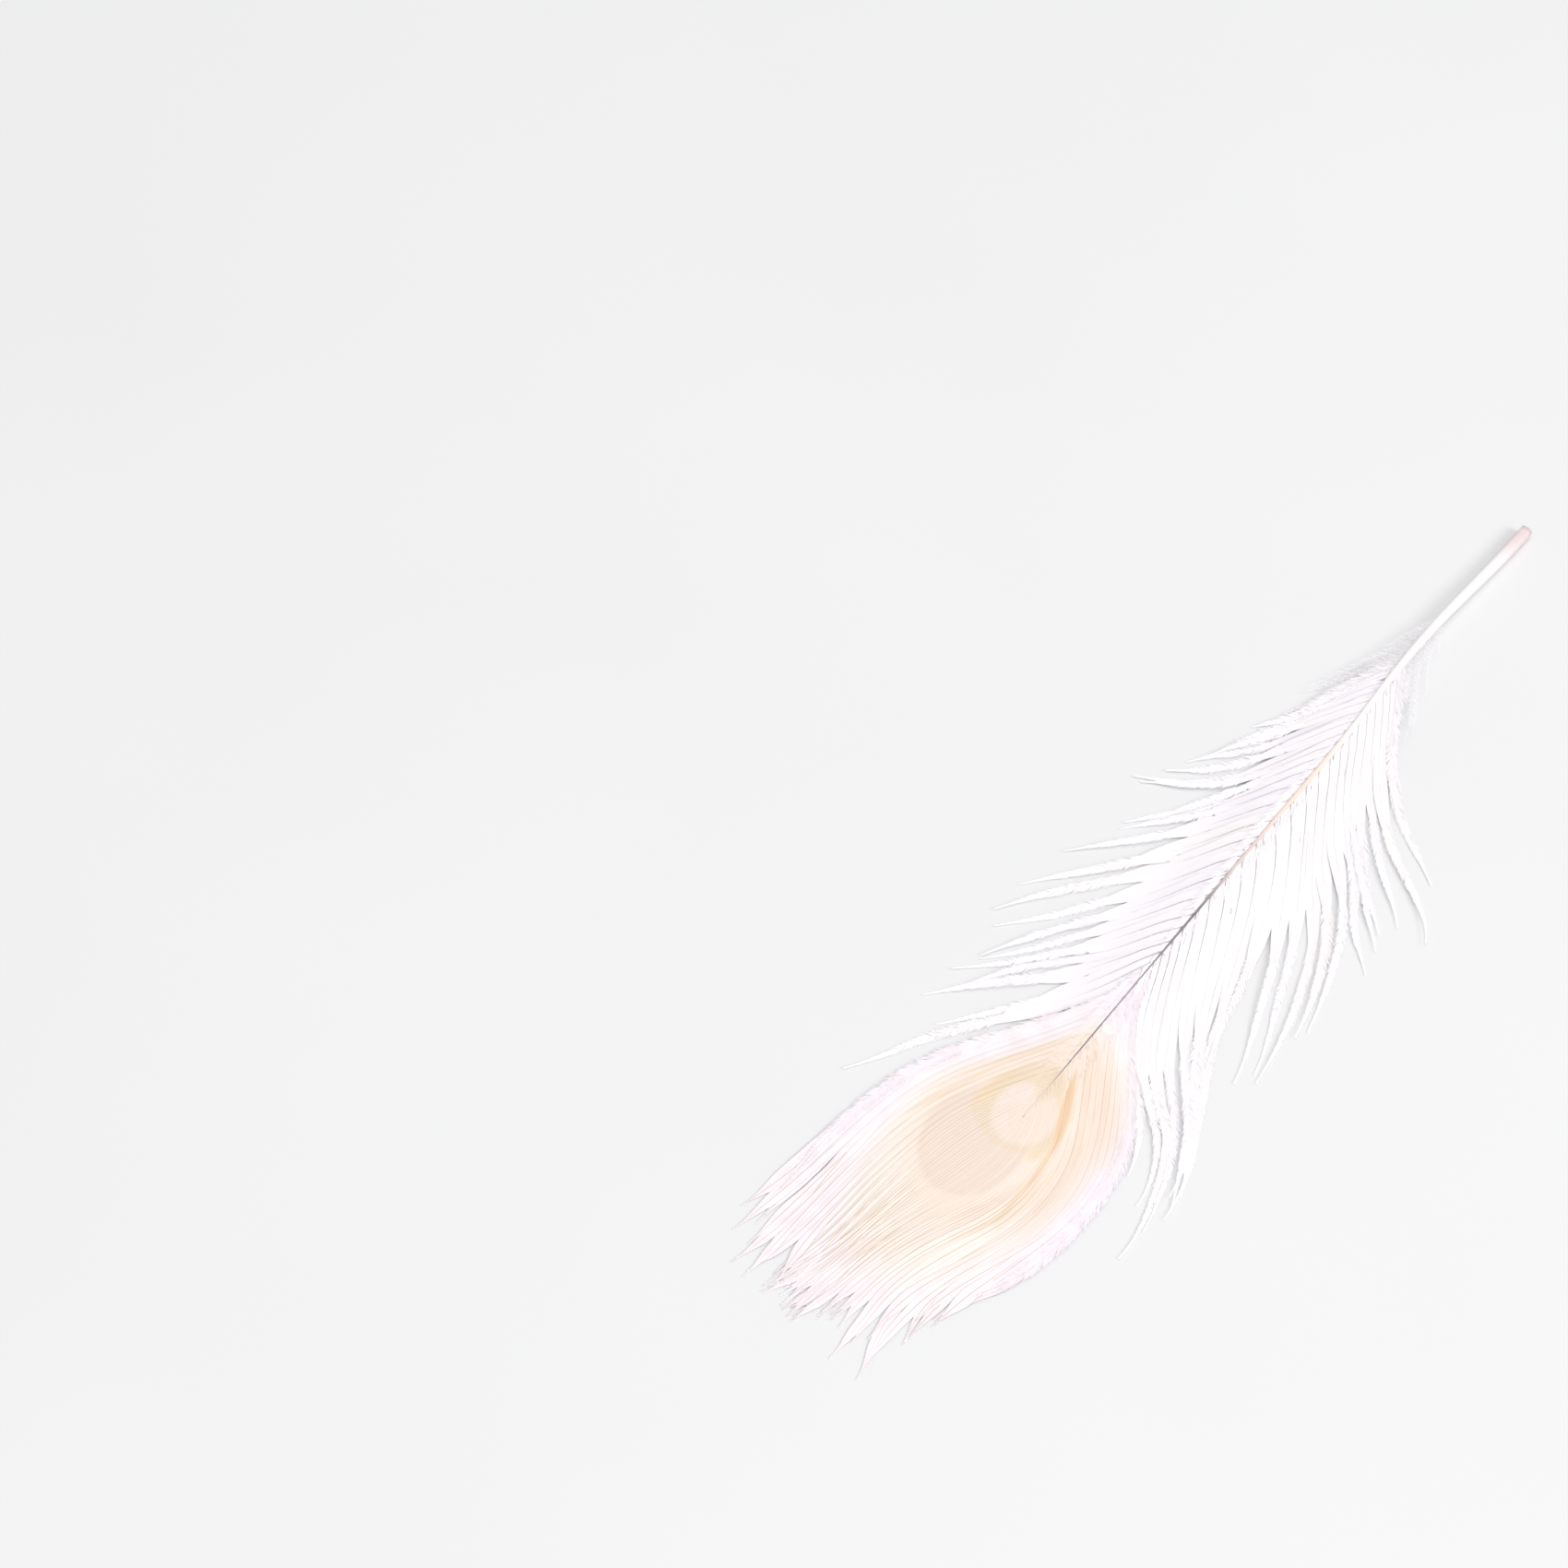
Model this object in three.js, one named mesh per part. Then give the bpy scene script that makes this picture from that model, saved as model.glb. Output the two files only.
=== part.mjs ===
// A white peacock's eye feather, trimmed short and lying face up on a flat surface.
//
// Millimetres. While it is modelled, +X runs along the shaft from the cut quill to the tip, +Y is
// the feather's left, and z = 0 is the surface it lies on. At the end the whole feather is moved
// so that the origin is on that surface, under the middle of its bounding box.
//
// The shaft is one tapered rod. The barbs are three thin solids that reach the barbs' tips: the
// closed web of the eye, and the loose barbs on each side of the shaft below it.

import * as THREE from 'three';

// Shaft: an oval rod that arches off the surface between the cut end and the eye
const SHAFT_LENGTH = 206;
const QUILL_RADIUS = 1.6; // half the width at the cut end
const SHAFT_TIP_RADIUS = 0.12;
const SHAFT_TAPER_POWER = 1.8;
const SHAFT_DEPTH_RATIO = 1.1; // depth over width of the oval section
const SHAFT_ARCH = 2.8; // height of the arch over the line between the ends
const SHAFT_TIP_HEIGHT = 1.3;
const SHAFT_BOW = 1.6; // how far the quill bows to the feather's right
const SHAFT_BOW_LENGTH = 90; // the bow's reach from the cut end
const SHAFT_SIDES = 16;
const SHAFT_STEPS = 52;

// Barb solids
const WEB_THICKNESS = 0.8;
const VANE_THICKNESS = 0.9;
const VANE_START = 40; // the bare quill ends here
const VANE_END = 158; // the loose barbs end here, and the web of the eye begins
const VANE_DRAPE = 18; // distance from the shaft over which loose barbs come down to the surface
const CLEARANCE = 0.35; // gap between the shaft and the vanes
const SHAFT_SIDE_STEP = 8; // spacing of points along the shaft side of a vane
const CURVE_STEPS = 5; // straight steps in each curved edge

// The web of the eye is an outline from its base on the shaft, along its right edge, over the
// fringe and back along its left edge. The fringe is a row of locks, each with the notch after it.
const WEB_BASE = [160, 0];
const WEB_RIGHT_EDGE = [[171, -2], [185, -11], [195, -18], [205, -23.5], [214, -27], [238, -30.5]];
const WEB_LOCKS = [
  { tip: [265, -33.5], notch: [250, -26] },
  { tip: [274, -28], notch: [263, -21.5] },
  { tip: [275, -20], notch: [266, -14] },
  { tip: [276, -7], notch: [268, -4] },
  { tip: [277, 3], notch: [268, 3.5] },
  { tip: [277.5, 9], notch: [262, 7] },
  { tip: [274, 12.5], notch: [256, 10] },
  { tip: [258, 14], notch: [245, 13.5] },
];
const WEB_LEFT_EDGE = [[243, 19], [234, 23], [221, 24.5], [206, 24.7], [196, 22], [181, 11], [171, 2.6]];

// The loose barbs of one side hang together in locks. Points are distances along and away from
// the shaft. Going from the quill to the eye, a lock's outer edge bends past `out` to its tip, and
// its inner edge bends past `back` to the notch beside the next lock. The last lock lies along the
// web of the eye. Its `inner` edge goes round the tip of one more barb and then faces the web.
const LEFT_LOCKS = [
  { out: [48, 5], tip: [58, 12], back: [56, 8], notch: [61, 6] },
  { out: [90, 17], tip: [110, 50], back: [99, 34], notch: [96, 25] },
  { out: [106, 34], tip: [122, 41], back: [111, 32], notch: [107, 25.5] },
  { out: [116, 32], tip: [131, 44], back: [121, 33], notch: [117, 26] },
  { out: [131, 36], tip: [154, 37], back: [141, 32], notch: [134, 25.5] },
  { out: [155, 33], tip: [178, 34], back: [165, 29.5], notch: [157, 22.5] },
  { out: [167, 25], tip: [177, 28], back: [171, 23], notch: [167, 18.5] },
  { out: [183, 34], tip: [209, 40.5], back: [203, 37.5], notch: [200, 36] },
];
const LEFT_LAST_LOCK = {
  out: [212, 38],
  tip: [223, 36],
  inner: [
    [207, 32.5], [199, 28.5], [208.5, 28], [197, 23.8],
    [189, 18.5], [181, 12.3], [171, 4.2], [163, 1.8],
  ],
};
const RIGHT_LOCKS = [
  { out: [52, 7], tip: [74, 16.5], back: [70, 11.5], notch: [68, 9] },
  { out: [79, 15], tip: [90, 17.5], back: [86, 13.5], notch: [84, 12] },
  { out: [96, 22], tip: [108, 26], back: [105, 20], notch: [104, 17] },
  { out: [112, 29], tip: [120, 36], back: [115.5, 26], notch: [116, 20] },
  { out: [124, 25], tip: [135, 28.5], back: [131, 22.5], notch: [130, 19] },
  { out: [143, 36], tip: [154, 41.5], back: [149, 31], notch: [147, 25] },
  { out: [156, 34], tip: [166, 38], back: [161, 29], notch: [159, 24.5] },
  { out: [172, 35], tip: [188, 38.5], back: [181, 30], notch: [178, 26] },
  { out: [190, 33], tip: [203, 36], back: [196, 29], notch: [193, 25] },
];
const RIGHT_LAST_LOCK = {
  out: [207, 35],
  tip: [224, 42.5],
  inner: [
    [215, 34.5], [235, 35], [224, 31.6], [212, 28.6],
    [205, 25.2], [196, 20.2], [186, 13.4], [171, 3.6], [163, 1.6],
  ],
};

const shaftKeratin = new THREE.MeshStandardMaterial({ color: 0xf4ede6, roughness: 0.35, metalness: 0 });
const eyeCream = new THREE.MeshStandardMaterial({ color: 0xf6e6c8, roughness: 0.6, metalness: 0 });
const barbWhite = new THREE.MeshStandardMaterial({ color: 0xf7f1f2, roughness: 0.75, metalness: 0 });

// How far along the shaft a distance from the cut end is, from 0 to 1.
function shaftShare(along) {
  return THREE.MathUtils.clamp(along / SHAFT_LENGTH, 0, 1);
}

function shaftRadius(along) {
  const left = (1 - shaftShare(along)) ** SHAFT_TAPER_POWER;
  return THREE.MathUtils.lerp(SHAFT_TIP_RADIUS, QUILL_RADIUS, left);
}

// Height of the shaft's centre line. At the cut end the oval section touches the surface.
function shaftHeight(along) {
  const share = shaftShare(along);
  const chord = THREE.MathUtils.lerp(QUILL_RADIUS * SHAFT_DEPTH_RATIO, SHAFT_TIP_HEIGHT, share);
  return chord + SHAFT_ARCH * Math.sin(Math.PI * share);
}

// Sideways place of the shaft's centre line.
function shaftBow(along) {
  const share = THREE.MathUtils.clamp(along / SHAFT_BOW_LENGTH, 0, 1);
  return -SHAFT_BOW * Math.sin(Math.PI * share) ** 2;
}

function moveVertices(geometry, place) {
  const position = geometry.getAttribute('position');
  const vertex = new THREE.Vector3();
  for (let index = 0; index < position.count; index += 1) {
    place(vertex.fromBufferAttribute(position, index));
    position.setXYZ(index, vertex.x, vertex.y, vertex.z);
  }
  geometry.computeVertexNormals();
  return geometry;
}

// A capped cylinder along X, warped onto the shaft's centre line and taper.
function makeShaft() {
  const geometry = new THREE.CylinderGeometry(1, 1, SHAFT_LENGTH, SHAFT_SIDES, SHAFT_STEPS);
  geometry.rotateZ(-Math.PI / 2);
  geometry.translate(SHAFT_LENGTH / 2, 0, 0);
  moveVertices(geometry, (vertex) => {
    const radius = shaftRadius(vertex.x);
    vertex.y = shaftBow(vertex.x) + vertex.y * radius;
    vertex.z = shaftHeight(vertex.x) + vertex.z * radius * SHAFT_DEPTH_RATIO;
  });
  return new THREE.Mesh(geometry, shaftKeratin);
}

function flatSolid(shape, thickness) {
  return new THREE.ExtrudeGeometry(shape, {
    depth: thickness,
    bevelEnabled: false,
    curveSegments: CURVE_STEPS,
  });
}

function makeWeb() {
  const shape = new THREE.Shape();
  shape.moveTo(...WEB_BASE);
  for (const point of WEB_RIGHT_EDGE) {
    shape.lineTo(...point);
  }
  for (const { tip, notch } of WEB_LOCKS) {
    shape.lineTo(...tip);
    shape.lineTo(...notch);
  }
  for (const point of WEB_LEFT_EDGE) {
    shape.lineTo(...point);
  }
  shape.closePath();
  return new THREE.Mesh(flatSolid(shape, WEB_THICKNESS), eyeCream);
}

// The loose barbs of one side, as one thin solid. `side` is 1 on the left and -1 on the right.
function makeVane(side, locks, lastLock) {
  const onSide = ([along, away]) => [along, side * away];
  const besideShaft = (along) => [along, shaftBow(along) + side * (shaftRadius(along) + CLEARANCE)];
  const shape = new THREE.Shape();
  shape.moveTo(...besideShaft(VANE_START));
  for (const { out, tip, back, notch } of locks) {
    shape.quadraticCurveTo(...onSide(out), ...onSide(tip));
    shape.quadraticCurveTo(...onSide(back), ...onSide(notch));
  }
  shape.quadraticCurveTo(...onSide(lastLock.out), ...onSide(lastLock.tip));
  for (const point of lastLock.inner) {
    shape.lineTo(...onSide(point));
  }
  for (let along = VANE_END; along > VANE_START; along -= SHAFT_SIDE_STEP) {
    shape.lineTo(...besideShaft(along));
  }
  shape.closePath();

  // The vane hangs from the middle of the shaft down to the surface.
  const geometry = moveVertices(flatSolid(shape, VANE_THICKNESS), (vertex) => {
    const raised = 1 - THREE.MathUtils.smoothstep(Math.abs(vertex.y), 0, VANE_DRAPE);
    vertex.z += raised * (shaftHeight(vertex.x) - VANE_THICKNESS / 2);
  });
  return new THREE.Mesh(geometry, barbWhite);
}

const parts = {
  shaft: makeShaft(),
  eye_web: makeWeb(),
  left_vane: makeVane(1, LEFT_LOCKS, LEFT_LAST_LOCK),
  right_vane: makeVane(-1, RIGHT_LOCKS, RIGHT_LAST_LOCK),
};

const feather = new THREE.Group();
for (const [name, mesh] of Object.entries(parts)) {
  mesh.name = name;
  feather.add(mesh);
}
const box = new THREE.Box3().setFromObject(feather);
const middle = box.getCenter(new THREE.Vector3());
feather.position.set(-middle.x, -middle.y, -box.min.z);

export default feather;
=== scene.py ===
"""A white peacock's eye feather, trimmed short and lying face up.

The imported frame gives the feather's place and size. This script makes what it looks like: a
grooved shaft, every barb as a strand with barbules along it, and a closed eye with a fringe.
"""

import math

import bmesh
import bpy
import numpy as np
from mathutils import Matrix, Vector


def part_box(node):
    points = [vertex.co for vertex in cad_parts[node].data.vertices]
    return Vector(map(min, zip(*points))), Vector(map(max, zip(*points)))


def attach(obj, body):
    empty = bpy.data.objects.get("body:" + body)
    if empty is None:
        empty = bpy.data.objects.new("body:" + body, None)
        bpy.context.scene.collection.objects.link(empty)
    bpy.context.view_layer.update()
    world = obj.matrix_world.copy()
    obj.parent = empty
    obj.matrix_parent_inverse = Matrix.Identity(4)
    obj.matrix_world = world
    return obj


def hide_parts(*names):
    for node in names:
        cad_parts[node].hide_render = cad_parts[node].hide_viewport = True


bl_info = {
    "name": "White Peacock Feather",
    "version": (1, 0, 0),
    "blender": (4, 5, 0),
    "location": "3D View > Sidebar > Feather",
    "description": "Builds a white peacock's eye feather around a packed frame",
    "category": "Add Mesh",
}

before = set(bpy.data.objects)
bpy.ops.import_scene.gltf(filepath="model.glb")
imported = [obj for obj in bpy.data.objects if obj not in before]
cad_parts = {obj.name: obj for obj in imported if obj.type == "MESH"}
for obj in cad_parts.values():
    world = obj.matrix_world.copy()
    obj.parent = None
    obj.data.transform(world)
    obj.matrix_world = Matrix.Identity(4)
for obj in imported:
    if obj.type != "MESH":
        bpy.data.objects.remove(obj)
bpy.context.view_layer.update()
SHAFT_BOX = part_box("shaft")

# The feather's own measure is millimetres: along the shaft from the cut end, away from the shaft
# (positive on the feather's left) and up from the surface it lies on.
MM = 0.001
QUILL_RADIUS = 1.6
CUT_END = np.array([SHAFT_BOX[0].x, SHAFT_BOX[1].y - QUILL_RADIUS * MM, 0.0])
SHAFT_LENGTH = (SHAFT_BOX[1].x - SHAFT_BOX[0].x) / MM
SHAFT_TIP_RADIUS = 0.12
SHAFT_TAPER_POWER = 1.8
SHAFT_DEPTH_RATIO = 1.1
SHAFT_ARCH = 2.8
SHAFT_TIP_HEIGHT = 1.3
SHAFT_BOW = 1.6
SHAFT_BOW_LENGTH = 90.0

# Guide barbs, each from its root on the shaft to its tip, with distances away from the shaft. The
# barbs between two guides take their shape from both, and lean to the nearer one towards their
# tips, so that they hang in locks.
LEFT_GUIDES = [
    [(38, 1), (42, 3), (47, 7)],
    [(46, 1), (53, 4.5), (61, 9), (68, 11)],
    [(55, 1), (66, 6), (77, 12), (86, 20)],
    [(61, 1), (73, 8), (84, 17), (93, 26), (98, 35), (105, 47), (110, 50)],
    [(67, 1), (80, 8), (90, 15), (103, 25), (113, 37), (122, 41)],
    [(76, 1), (88, 7), (97, 13), (105, 21), (116, 29), (122, 37), (131, 44)],
    [(84, 1), (94, 6), (106, 14), (113, 21), (122, 28), (132, 32), (143, 35), (154, 37)],
    [(99, 1), (112, 9), (128, 19), (137, 24), (146, 27), (158, 31), (168, 33), (178, 34)],
    [(109, 1), (119, 8), (132, 14), (145, 18), (157, 20), (168, 23), (177, 28)],
    [(121, 1), (134, 8), (147, 13), (160, 18), (172, 24), (186, 34), (197, 38), (206, 39)],
    [(134, 1), (150, 8), (165, 15), (176, 23), (184, 30), (192, 34), (200, 38), (209, 40)],
    [(144, 0.7), (162, 8), (175, 14), (182, 21), (189, 29), (204, 35), (215, 37), (223, 36)],
    [(153, 0.6), (168, 6), (178, 13), (184, 20), (191, 28), (202, 33), (213, 34), (219, 32)],
    [(157, 0.5), (170, 4.6), (181, 12.8), (189, 19.8), (197, 24.5), (208, 26.8)],
]
RIGHT_GUIDES = [
    [(38, 1), (43, 3), (49, 6)],
    [(46, 1), (53, 5), (63, 11), (74, 16)],
    [(55, 1), (60, 3.5), (74, 9), (90, 17)],
    [(69, 1), (79, 7), (91, 14.5), (108, 25.5)],
    [(79, 1), (89, 5.5), (103, 13.5), (112, 22), (116, 29), (120, 35.5)],
    [(94, 1), (103, 6.5), (113, 13), (134, 28)],
    [(107, 1), (119, 9.5), (131, 19.5), (142, 31.5), (154, 41)],
    [(112, 1), (127, 10.5), (143, 21.5), (156, 31), (166, 37)],
    [(121, 1), (141, 12.5), (153, 20.5), (167, 31), (177, 37)],
    [(131, 1), (148, 10.5), (163, 20), (175, 28), (184, 33)],
    [(139, 1), (150, 8), (162, 15.5), (176, 27), (188, 38)],
    [(149, 0.7), (159, 7), (169, 14), (180, 24.5), (195, 36)],
    [(153, 0.6), (165, 6.5), (178, 14), (191, 25), (203, 35.5)],
    [(156, 0.5), (169, 5.8), (184, 16.5), (196, 25.5), (206, 31.5), (214, 35), (224, 42.5)],
    [(159, 0.5), (171, 4.8), (185, 13.5), (197, 21.5), (208, 27.5), (221, 31.5), (234, 33)],
]
EYE_LEFT_GUIDES = [
    [(159, 0.4), (170, 3), (181, 11), (190, 18), (196, 22), (205, 24.5), (214, 25), (224, 24.5),
     (235, 22.5), (243, 18.5), (251, 14.5), (258, 13.5)],
    [(171, 0.3), (182, 7), (195, 15), (204, 19), (212, 21), (223, 21), (232, 19), (240, 16),
     (250, 13), (260, 12.5), (270, 12.5)],
    [(181, 0.3), (189, 5), (200, 11.5), (209, 15.5), (220, 16.5), (231, 14.5), (241, 11),
     (254, 6.5), (264, 6), (277, 9)],
    [(188, 0.3), (196, 5), (204, 9.5), (213, 11.5), (222, 11.5), (230, 10), (238, 6.5), (248, 3),
     (258, 1), (268, 2), (277, 3)],
    [(194, 0.2), (201, 4.5), (208, 7.5), (216, 8.5), (224, 8), (233, 4), (242, 0), (252, -3),
     (264, -4.5), (276, -6)],
    [(200, 0.2), (207, 3.2), (215, 4.5), (223, 3.5), (232, 0), (242, -4), (254, -7), (265, -8.5),
     (276, -11)],
]
EYE_RIGHT_GUIDES = [
    [(160, 0.4), (171, 2), (185, 11), (195, 18), (205, 23.5), (214, 27), (227, 30), (240, 31),
     (252, 31.5), (265, 33.5)],
    [(169, 0.3), (182, 7), (192, 13.5), (202, 19.5), (213, 24), (226, 26.5), (240, 27.5), (252, 28),
     (264, 29), (272, 30)],
    [(177, 0.3), (189, 7), (200, 14), (213, 20.5), (224, 23), (236, 24), (248, 25), (260, 26),
     (274, 28)],
    [(184, 0.3), (194, 7.5), (204, 13), (214, 17.5), (225, 20), (237, 21.5), (250, 22), (262, 22),
     (275, 24)],
    [(190, 0.3), (200, 6.5), (208, 11), (217, 14.5), (228, 16), (240, 17.5), (252, 17.5),
     (264, 18.5), (276, 20)],
    [(198, 0.2), (206, 4), (213, 7), (221, 9), (230, 10.5), (242, 12), (254, 13), (265, 16),
     (275, 19)],
]
# The last guide of both sides of the eye grows from the shaft's own end. Its points are places in
# the feather's own measure, and it bends to the right.
MIDDLE_GUIDE = [(206, 0), (214, -0.5), (224, -2.5), (236, -6), (250, -9.5), (262, -12), (275, -15)]

# Gaps between barb roots, at places along the shaft
GAP_PLACES = [38, 56, 66, 88, 100, 132, 146, 153, 160, 166, 182, 189, 191, 199, 206]
GAP_SIZES = [2.2, 2.8, 3.8, 4.6, 6.4, 6.2, 4.2, 3.1, 2.8, 3.4, 2.8, 1.9, 1.0, 0.8, 0.7]

# The shaft's section and cut end
SHAFT_SIDES = 32
SHAFT_CUTS = 120
SHAFT_SQUARENESS = 0.06  # how far the section swells at its corners, as a share of its radius
GROOVE_HALF_ANGLE = 0.42  # radians
GROOVE_FADE = 60  # the groove deepens over this length from the cut end
PITH_STEP = 0.05  # width of the slope from the rim down to the pith, as a share of the radius

# The loose barbs
DOWN_END = 44  # the short down next to the quill begins to give way to longer barbules here
DOWN_FADE = 16  # and is gone after this length
BLADES_START = 50  # barbules begin to hold together as blades here
SHAFT_ROW_START = 60  # the first barbules that grow from the shaft itself
VANE_END = 158.5  # the web of the eye begins here
DRAPES = (14.5, 16.5)  # nearest and farthest from the shaft that a barb comes down to rest
LAST_ROOM = 3.5  # least room of the last two barbs, which lie at the edge of the eye
BLADE_FILL = 0.62  # half width of a blade, as a share of the room beside its barb
BLADE_TURN = 0.6  # how far blades turn with the slope of their vane, as a share of it
BLADE_CANT = 0.04  # turn of every blade, in radians, so that each one laps the next

# The eye
WEB_REST = 0.42  # height of its edges over the surface
FRINGE_DROP = 0.17  # how much lower the fringe lies
CROWN_REACH = 20  # how far from the shaft its face is raised
WEB_FILL = 0.61  # half width of a closed barb, as a share of the room beside it
WEB_CANT = 0.035  # turn of every closed barb, in radians
FRINGE_LENGTH = 24  # the fringe opens over this length
FRINGE_OPENING = 0.42  # how far it opens there, as a share
THREAD_SHARE = 0.13  # share of a barb's length over which its tip narrows to a thread

# Strands and barbules
STRAND_STEPS = 48  # lengthwise pieces of one strand
STATIONS = np.linspace(0, 1, STRAND_STEPS + 1)  # shares of a strand's length where they meet
SHORTEST_BARBULE = 0.1  # none grows where it would be shorter
BARBULE_BEND = 0.22  # how far a barbule bends towards its barb's tip, as a share of its length
LOWEST = 0.02  # how far the barbules stay over the surface
HELD_SLANT = 1.28  # how far held barbules run along their barb, for each millimetre away from it
HELD_WAVES = 26.0  # radians of their fine waves, for each millimetre along the barb
KERATIN_IOR = 1.5

# The stage: metres, and degrees round from the camera and up from the floor
FLOOR_GAP = 0.0001  # from the surface that the feather lies on down to the floor
LIGHT_DISTANCE = 3.0
KEY_TURN, KEY_HEIGHT, KEY_SIZE = 62, 42, 1.5
OVERHEAD_HEIGHT, OVERHEAD_SIZE = 84, 2.4


def shaft_share(along):
    return np.clip(along / SHAFT_LENGTH, 0, 1)


def shaft_radius(along):
    left = (1 - shaft_share(along)) ** SHAFT_TAPER_POWER
    return SHAFT_TIP_RADIUS + (QUILL_RADIUS - SHAFT_TIP_RADIUS) * left


def shaft_height(along):
    """Height of the shaft's centre line."""
    share = shaft_share(along)
    cut_end_height = QUILL_RADIUS * SHAFT_DEPTH_RATIO
    chord = cut_end_height + (SHAFT_TIP_HEIGHT - cut_end_height) * share
    return chord + SHAFT_ARCH * np.sin(np.pi * share)


def shaft_bow(along):
    """Sideways place of the shaft's centre line."""
    share = np.clip(along / SHAFT_BOW_LENGTH, 0, 1)
    return -SHAFT_BOW * np.sin(np.pi * share) ** 2


def ramp(value, start, length):
    """0 up to `start`, then smoothly up to 1 over this length."""
    share = np.clip((value - start) / length, 0, 1)
    return share * share * (3 - 2 * share)


def to_frame(points):
    """Points in the feather's own measure, as places in the frame."""
    return np.asarray(points) * MM + CUT_END


def linear(red, green, blue):
    """A linear colour from the 0 to 255 values of a screen colour."""
    values = np.array([red, green, blue]) / 255
    low = values / 12.92
    high = ((values + 0.055) / 1.055) ** 2.4
    return tuple(float(value) for value in np.where(values <= 0.04045, low, high))


# Barb paths


def unit(vectors):
    """The same vectors, each with a length of 1."""
    return vectors / np.linalg.norm(vectors, axis=-1, keepdims=True)


def sample(stations, values, places):
    """Values that are given at these stations, at other places. Each column is one quantity."""
    return np.stack([np.interp(places, stations, column) for column in values.T], 1)


def path_lengths(paths):
    """Distance from the root to each station."""
    gaps = np.linalg.norm(np.diff(paths, axis=1), axis=2)
    return np.concatenate([np.zeros((len(paths), 1)), np.cumsum(gaps, axis=1)], 1)


def smooth_path(points):
    """A rounded path through a guide's points, as evenly spaced stations."""
    path = np.array(points, float)
    for _ in range(3):
        near = 0.75 * path[:-1] + 0.25 * path[1:]
        far = 0.25 * path[:-1] + 0.75 * path[1:]
        middle = np.stack([near, far], 1).reshape(-1, 2)
        path = np.vstack([path[:1], middle, path[-1:]])
    reached = path_lengths(path[None])[0]
    return sample(reached, path, np.linspace(0, reached[-1], len(STATIONS)))


def guided_paths(guides, roots, pulls, pull_from):
    """One flat path for each root, between the guides on both sides of it.

    From the share `pull_from` of its length on, it leans to the nearer guide by its pull.
    """
    shapes = np.array([smooth_path(guide) for guide in guides])
    guide_roots = shapes[:, 0, 0]
    drawn = ramp(STATIONS, pull_from, 1 - pull_from)
    paths = []
    for root, pull in zip(roots, pulls):
        before = int(np.clip(np.searchsorted(guide_roots, root) - 1, 0, len(guides) - 2))
        between = (root - guide_roots[before]) / (guide_roots[before + 1] - guide_roots[before])
        leaning = (between + (round(between) - between) * pull * drawn)[:, None]
        paths.append((1 - leaning) * shapes[before] + leaning * shapes[before + 1])
    return np.array(paths)


def room_between(flat):
    """Distance from each barb to the farther one of its neighbours, at each station."""
    tangent = unit(np.gradient(flat, axis=1))
    room = np.zeros(flat.shape[:2])
    for barb, path in enumerate(flat):
        for other in {barb - 1, barb + 1} & set(range(len(flat))):
            gaps = flat[other][None] - path[:, None]
            nearest = np.argmin(np.linalg.norm(gaps, axis=2), axis=1)
            gap = gaps[np.arange(len(path)), nearest]
            ahead = tangent[other][nearest]
            apart = np.abs(gap[:, 0] * ahead[:, 1] - gap[:, 1] * ahead[:, 0])
            room[barb] = np.maximum(room[barb], apart)
    return room


def shorten(paths, shares):
    """Each path cut back to its share of its length, with as many stations."""
    cut = [sample(STATIONS, path, STATIONS * share) for path, share in zip(paths, shares)]
    return np.array(cut)


def wander(paths, amounts, growth, random):
    """Bends each path sideways by slow waves that grow towards the tip, with this power."""
    tangent = unit(np.gradient(paths, axis=1))
    across = np.stack([-tangent[..., 1], tangent[..., 0]], 2)
    turns = random.uniform(0.4, 1.3, (len(paths), 1))
    start = random.uniform(0, 1, (len(paths), 1))
    wave = np.sin(2 * np.pi * (turns * STATIONS + start)) - np.sin(2 * np.pi * start)
    return paths + across * (amounts[:, None] * wave * STATIONS**growth)[..., None]


def frames_along(paths):
    """Tangent, sideways and upward directions at each station of paths in space."""
    tangent = unit(np.gradient(paths, axis=1))
    side = unit(np.cross([0.0, 0.0, 1.0], tangent))
    return tangent, side, np.cross(tangent, side)


def on_hand(guides, hand):
    """Guides of one side in the feather's own measure. `hand` is 1 on the left, -1 on the right."""
    return [[(along, hand * away) for along, away in guide] for guide in guides]


def barb_roots(start, end, random):
    """Places along the shaft where barbs grow, at gaps that change along it."""
    roots = [start]
    while roots[-1] < end:
        gap = np.interp(roots[-1], GAP_PLACES, GAP_SIZES)
        roots.append(roots[-1] + gap * random.uniform(0.85, 1.15))
    return np.array(roots[:-1])


def root_on_shaft(flat, roots, hand):
    """Draws the barbs' first few millimetres in, so that they grow out of the shaft's side."""
    too_far = hand * flat[:, :1, 1] - 0.6 * shaft_radius(roots)[:, None]
    drawn_in = hand * too_far * (1 - ramp(path_lengths(flat), 0, 7))
    flat[..., 1] += shaft_bow(roots)[:, None] - drawn_in


def shaft_line(start, end):
    """The middle of the shaft between two places, as a path for barbules that grow from it."""
    along = np.linspace(start, end, len(STATIONS))
    return np.stack([along, shaft_bow(along), shaft_height(along)], 1)[None]


def raise_loose(paths, rest_height, random):
    """Heights of loose barbs, which come down from the shaft and lie near the surface."""
    each = (len(paths), 1)
    reached = path_lengths(paths)
    share = reached / reached[:, -1:]
    drop = ramp(np.abs(paths[..., 1]), 0, random.uniform(*DRAPES, each))
    lie_at = random.uniform(0.3, 1.0, each) * rest_height
    turns = random.uniform(0.7, 1.8, each)
    start = random.uniform(0, 1, each)
    lying = lie_at * (1 + 0.6 * share * np.sin(2 * np.pi * (turns * share + start)))
    leaving = shaft_height(paths[..., 0]) + 0.3 * shaft_radius(paths[..., 0])
    return leaving * (1 - drop) + lying * drop


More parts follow.
